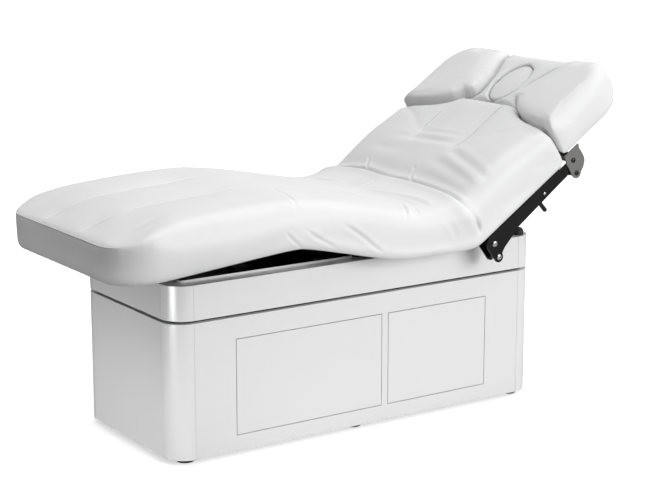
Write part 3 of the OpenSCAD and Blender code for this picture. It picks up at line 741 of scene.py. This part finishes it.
def place(a_, y_, n_):
    """a point of the body by length, width and height over the underside"""
    q = catmull(ST[:, 0], ST[:, 1:], np.clip(a_, 0, A_BACK + 520))
    t = np.hypot(q[:, 2] - q[:, 0], q[:, 3] - q[:, 1])
    k_ = n_ / t
    return row(q[:, 0] + (q[:, 2] - q[:, 0]) * k_, y_, q[:, 1] + (q[:, 3] - q[:, 1]) * k_)


def top_line(a0, a1, ys):
    """a sewn line along the top between two lengths, its distances from the middle evenly spaced"""
    q = np.linspace(a0, a1, 30)
    sec_ = catmull(ST[:, 0], ST[:, 1:], q)
    yy_ = np.interp(np.linspace(0, 1, 30), np.linspace(0, 1, len(ys)), ys)
    return laid_on(master.data, row(sec_[:, 2], yy_, sec_[:, 3] + 6))


SEWN = [
    (top_line(3, 575, [-117, -116, -116]), 0.0, 0.22),
    (top_line(3, 575, [117, 116, 116]), 0.0, 0.22),
    (top_line(A_BACK + 222, A_BACK + 508, [-121, -120, -106, -98]), 0.05, 0.0),
    (top_line(A_BACK + 296, A_BACK + 470, [130, 137, 137]), 0.1, 0.4),
]
# folds of the loose cover: line, width, depth, raised lip, fade at the ends
FOLDS = [
    # knee
    ([(420, -150, 763), (405, -235, 762), (391, -297, 762), (376, -355, 760), (369, -386, 747), (366, -396, 734)], 4.5, 2.6, 0.9, 0.25),
    ([(408, 170, 763), (398, 240, 762), (383, 320, 761), (372, 380, 750)], 5.0, 2.0, 0.7, 0.3),
    # pulls on the near and far sides over the hips and knee
    ([(314, -401, 692), (348, -400, 657), (384, -390, 630)], 4.5, 2.4, 0.9, 0.3),
    ([(384, -401, 690), (429, -400, 659), (510, -396, 612)], 5.0, 2.8, 1.1, 0.3),
    ([(518, -399, 694), (589, -401, 646), (637, -400, 607), (677, -396, 578)], 5.5, 3.4, 1.4, 0.25),
    ([(330, 401, 690), (376, 400, 655), (430, 395, 622)], 5.0, 2.4, 0.9, 0.3),
    ([(500, 401, 694), (570, 401, 650), (640, 398, 600)], 5.5, 3.0, 1.2, 0.3),
    ([(800, 401, 668), (772, 401, 630), (760, 400, 590)], 6.0, 2.2, 0.9, 0.35),
    ([(905, -401, 660), (935, -401, 625), (950, -400, 585)], 8.0, 1.6, 0.6, 0.4),
    # seat
    ([(846, -20, 696), (852, -68, 695), (868, -139, 695), (880, -202, 694), (885, -275, 693), (876, -354, 690)], 8.0, 3.4, 2.6, 0.22),
    ([(822, -262, 694), (800, -320, 692), (771, -378, 690), (770, -396, 668)], 5.0, 3.2, 1.4, 0.3),
    ([(836, -322, 692), (818, -376, 686)], 4.0, 1.8, 0.7, 0.4),
    ([(690, -60, 712), (700, -170, 712), (690, -290, 711)], 14.0, 1.8, 0.9, 0.35),
    ([(760, 60, 700), (745, 180, 702), (720, 300, 706)], 14.0, 2.4, 1.0, 0.35),
    ([(860, 120, 697), (850, 210, 697), (815, 320, 697)], 8.0, 3.2, 1.5, 0.3),
    # low on the back
    ([(1060, 226, 755), (1046, 213, 745), (1026, 193, 730), (1000, 160, 716)], 4.5, 4.6, 1.6, 0.2),
    ([(1062, -34, 757), (1048, -44, 750), (1026, -58, 733), (1000, -84, 716)], 4.5, 5.0, 1.8, 0.2),
    # slanting folds of the back by the end of the sewn line
    ([(1148, -92, 818), (1132, -148, 808), (1119, -198, 799), (1103, -272, 786), (1086, -347, 769), (1092, -388, 752)], 12.0, 2.4, 1.8, 0.25),
    ([(1100, -60, 787), (1087, -120, 779), (1073, -202, 767), (1057, -306, 750), (1042, -376, 732)], 14.0, 1.9, 1.9, 0.28),
    ([(1214, 150, 856), (1199, 110, 849), (1198, 12, 850), (1204, -96, 852)], 8.0, 1.4, 0.9, 0.3),
    ([(1160, 240, 824), (1154, 120, 824), (1160, 0, 829), (1178, -100, 838)], 10.0, 1.7, 1.1, 0.3),
    ([(1110, 300, 795), (1096, 180, 790), (1104, 60, 795)], 14.0, 1.5, 0.9, 0.35),
]
laid = [(lay(pth), w_, d_, l_, f_) for pth, w_, d_, l_, f_ in FOLDS]
# the crease where the back leaves the seat, with the seat cover standing over it
CREST = [(1030, 401, 585), (1022, 401, 616), (998, 400, 650), (967, 386, 690), (979, 310, 704), (991, 225, 710), (993, 150, 712), (984, 58, 711), (985, -19, 711), (987, -102, 711), (985, -191, 709), (978, -277, 705), (967, -382, 690), (998, -400, 650), (1022, -401, 616), (1030, -401, 585)]
crest = lay(CREST)
crease = lay([(x_ + 15 - 4 * (abs(y_) > 395), y_, z_ + 8) for x_, y_, z_ in CREST])
seam_short = lay([(800, -36, 696), (822, -27, 696), (862, -4, 698), (907, 22, 700), (948, 38, 704), (973, 43, 709)])
refine([p_ for p_, _, _ in SEWN] + [seam_short] + [p_ for p_, w_, _, _, _ in laid if w_ < 6] + [crease], 11)
refine([p_ for p_, _, _ in SEWN] + [seam_short], 6)
mco = get_co(master.data)
mno = normals(master.data)


def groove(pts, width, depth, lip=0.0, fade=0.12, fade_end=None):
    """a fold or sewn line pressed into the cover along laid points"""
    global mco
    r, at = line_dist(mco, pts, within=5 * width / 1000)
    w = width / 1000
    fe = fade if fade_end is None else fade_end
    amp = np.ones(len(r))
    if fade > 0:
        amp = np.minimum(amp, sstep(0, fade, at))
    if fe > 0:
        amp = np.minimum(amp, 1 - sstep(1 - fe, 1, at))
    g = -depth / 1000 * np.exp(-((r / w) ** 2)) + lip / 1000 * np.exp(-(((r - 2.4 * w) / (1.2 * w)) ** 2))
    mco = mco + mno * (g * amp)[:, None]


def bump_at(x, y_, z, rx, ry, rz, h):
    global mco
    c = row(x, y_, z)
    q = (mco - c) / np.array([rx / 1000, ry / 1000, rz / 1000])
    mco = mco + mno * (h / 1000 * np.exp(-(q**2).sum(1)))[:, None]


groove(crest, 26, -8.0, 0, 0.08)
for side_ in (-1, 1):
    bump_at(972, side_ * 398, 648, 55, 40, 62, 9.0)
groove(lay([(x_ + 42, y_ * 0.985, z_ + 22) for x_, y_, z_ in CREST[3:-3]]), 30, 6.0, 0, 0.1)
groove(crease, 8.5, 17.0, 1.0, 0.04)
for pth, w_, d_, l_, f_ in laid:
    groove(pth, w_, d_, l_, f_)
for pth, f0_, f1_ in SEWN:
    groove(pth, 2.4, 5.2, 0.9, f0_, f1_)
groove(seam_short, 2.6, 3.6, 0.8, 0.3, 0.0)
set_co(master.data, mco)
smooth(master.data, 1, 0.4)

# the whole cover's own normals, so that the parts join without a line
mno = normals(master.data)
at = master.data.attributes.new("mn", "FLOAT_VECTOR", "POINT")
at.data.foreach_set("vector", mno.astype(np.float32).ravel())


def piece_of(name, planes):
    """the part of the cover between planes (point, direction kept), with its cut ends closed"""
    bm = bmesh.new()
    bm.from_mesh(master.data)
    for p, d in planes:
        bmesh.ops.bisect_plane(bm, geom=bm.verts[:] + bm.edges[:] + bm.faces[:], dist=1e-7, plane_co=p, plane_no=d, clear_inner=True)
    open_edges = [e for e in bm.edges if e.is_boundary]
    made = bmesh.ops.holes_fill(bm, edges=open_edges, sides=0)["faces"]
    made = bmesh.ops.triangulate(bm, faces=made)["faces"] if made else []
    for fc in bm.faces:
        fc.smooth = True
    for fc in made:
        fc.smooth = False
    bmesh.ops.recalc_face_normals(bm, faces=bm.faces)
    me = bpy.data.meshes.new(name)
    bm.to_mesh(me)
    bm.free()
    o = bpy.data.objects.new(name, me)
    scene.collection.objects.link(o)
    mn = np.zeros(len(me.vertices) * 3)
    me.attributes["mn"].data.foreach_get("vector", mn)
    mn = mn.reshape(-1, 3)
    mn /= np.maximum(np.linalg.norm(mn, axis=1), 1e-9)[:, None]
    vi = np.zeros(len(me.loops), np.int64)
    me.loops.foreach_get("vertex_index", vi)
    ln = mn[vi]
    for p in me.polygons:
        if not p.use_smooth:
            ln[list(p.loop_indices)] = np.array(p.normal)
    me.normals_split_custom_set([tuple(v) for v in ln])
    me.attributes.remove(me.attributes["mn"])
    me.materials.clear()
    me.materials.append(LEATHER)
    return o


cut_thigh = (V(560, 0, 588), Vector((-0.21, 0, -0.978)).cross(Vector((0, 1, 0))))
cut_thigh = (V(575, 0, 655), Vector((math.cos(math.radians(13.2)), 0, -math.sin(math.radians(13.2)))))
cut_seat = (V(860, 0, 600), Vector((1, 0, 0)))
leg_cover = piece_of("leg_cushion_cover", [(cut_thigh[0], -cut_thigh[1])])
seat_cover = piece_of("seat_cushion_cover", [cut_thigh, (cut_seat[0], -cut_seat[1])])
back_cover = piece_of("back_cushion_cover", [cut_seat])
bpy.data.objects.remove(master)
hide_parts("calf_cushion")
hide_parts("thigh_cushion")
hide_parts("hip_cushion", "back_cushion")


def along(a, off=0.0):
    """a point on the underside line at that length, in bench millimetres"""
    s = catmull(ST[:, 0], ST[:, 1:], [a])[0]
    return s


# piped seam along the top edge of the foot end
corner = arc(FOOT_R, -HM + FOOT_R, FOOT_R, 222, 180, 12)
edge_ya = [(p_[0], p_[1] * (1 - 2.5 / HM)) for p_ in corner + [(0, y_) for y_ in np.linspace(-240, 240, 26)] + [(p_[0], -p_[1]) for p_ in reversed(corner)]]
ea, ey = np.array(edge_ya).T
qe = catmull(ST[:, 0], ST[:, 1:], ea)
te = np.hypot(qe[:, 2] - qe[:, 0], qe[:, 3] - qe[:, 1])
edge = laid_on(leg_cover.data, place(ea, ey, te - 5.5), 0.0004)
fade_ = np.clip(np.minimum(np.arange(len(edge)), np.arange(len(edge))[::-1]) / 9.0, 0.12, 1)
piping = tube("leg_cushion_piping", edge, 0.0024 * fade_, LEATHER, 10)
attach(piping, "calf")
KN = math.radians(5.4)
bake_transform(leg_cover)
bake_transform(seat_cover)
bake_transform(back_cover)

# ---------------------------------------------------------------- headrest cushions
def head_pad():
    h = [(519, 137), (527, 111), (543, 93), (590, 95), (640, 107), (700, 133), (750, 157), (785, 171)]
    out = [(s, -y) for s, y in h] + [(s, y) for s, y in reversed(h)]
    out = dense(out, 14)
    hole = [(620 + 96 * math.cos(t), 67 * math.sin(t)) for t in np.linspace(0, 2 * math.pi, 72, endpoint=False)]
    o, p = slab("head_centre_cushion", out, 0, 136, 5.0, hole)
    s, y, n = p.T
    f = np.clip(n / 136, 0, 1)
    do, dh = dist_to(out, p[:, :2]), dist_to(hole, p[:, :2])
    top = 137 + 5 * np.exp(-(((s - 640) / 110) ** 2)) - 16 * sstep(715, 786, s)
    nt = top - drop(do, 15) - drop(dh, 7) * 0.9
    nb = drop(do, 6)
    n2 = nb + f * (nt - nb)
    set_co(o.data, on_back(s, y, n2))
    smooth(o.data, 4)
    puff(o, np.where((f < 0.15) | (dh < 4), 1.0, 0.0), 3.0, 0.004, 12)
    subdivide(o)
    finish_piece(o, LEATHER)
    return o


def face_plug():
    out = [(620 + 93.2 * math.cos(t), 64.2 * math.sin(t)) for t in np.linspace(0, 2 * math.pi, 96, endpoint=False)]
    o, p = slab("face_plug_cushion", out, 1, 137, 4.0)
    s, y, n = p.T
    f = np.clip((n - 1) / 136, 0, 1)
    d = dist_to(out, p[:, :2])
    nt = 137 + 3.5 * (1 - np.exp(-((d / 30) ** 2))) - drop(d, 8)
    n2 = 1 + f * (nt - 1)
    set_co(o.data, on_back(s, y, n2))
    smooth(o.data, 3)
    puff(o, np.where(f < 0.85, 1.0, 0.0), 3.0, 0.003, 10)
    subdivide(o)
    finish_piece(o, LEATHER)
    return o


def wing(name, side):
    """one raised side cushion: S-curved front, puffed top, tapered end"""
    inner = [(509, 149), (520, 141), (528, 115.5), (543, 97.5), (590, 99.5), (640, 111.5), (700, 137.5), (750, 161), (783, 180), (784, 240)]
    front = [(428, 400), (438, 352), (445, 307), (453, 263), (461, 230), (473, 198), (490, 164), (500, 155)]
    inner_line = inner + inner[::-1]
    out = front + inner + arc(632, 248, 152, 0, 90, 12) + [(560, 400), (500, 400)]
    out = dense(out, 12)
    o, p = slab(name, out, 0, 100, 6.0)
    s, y, n = p.T
    f = np.clip(n / 100, 0, 1)
    d = dist_to(out, p[:, :2])
    top = 164 + 3 * np.exp(-(((s - 580) / 120) ** 2) - ((y - 250) / 120) ** 2) - 6 * sstep(700, 790, s)
    inward = 1 - sstep(0, 95, dist_to(inner_line, p[:, :2]))
    top = top - 14 * inward * sstep(500, 660, s)
    lift = np.interp(s, [420, 640, 700, 760, 790], [0, 0, 4, 26, 40])
    bot = 30 + lift
    # broad round on the outside and the head end, a firmer one at the front and inside
    r = 18 + 6 * sstep(200, 380, y) + 14 * sstep(640, 760, s)
    r = r - 6 * (1 - sstep(430, 520, s))
    n_t = top - drop(d, r)
    n_b = bot + drop(d, 12)
    n2 = n_b + f * (n_t - n_b)
    puffed = 5 * np.sin(np.pi * np.clip(f, 0, 1)) * (1 - sstep(0, 14, d))
    # the outer wall bellies out a little
    y2 = y + np.where(y > 380, puffed * 0.2, 0) - 1.5 * sstep(380, 400, y)
    s2 = s + np.where((s < 460) & (y > 300), -0.0 * puffed, 0)
    set_co(o.data, on_back(s2, side * y2, n2))
    if side < 0:
        bm = bmesh.new()
        bm.from_mesh(o.data)
        bmesh.ops.recalc_face_normals(bm, faces=bm.faces)
        bm.to_mesh(o.data)
        bm.free()
    smooth(o.data, 5)
    puff(o, np.where((f < 0.12), 1.0, 0.0), 4.0, 0.003, 14)
    subdivide(o)
    finish_piece(o, LEATHER)
    return o


head_c = head_pad()
plug = face_plug()
wl = wing("head_wing_cushion_left", 1)
wr = wing("head_wing_cushion_right", -1)
for o, body, node in ((head_c, "head", "head_cushion"), (plug, "plug", "face_plug"), (wl, "head", "head_wing_left"), (wr, "head", "head_wing_right")):
    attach(o, body)
    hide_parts(node)
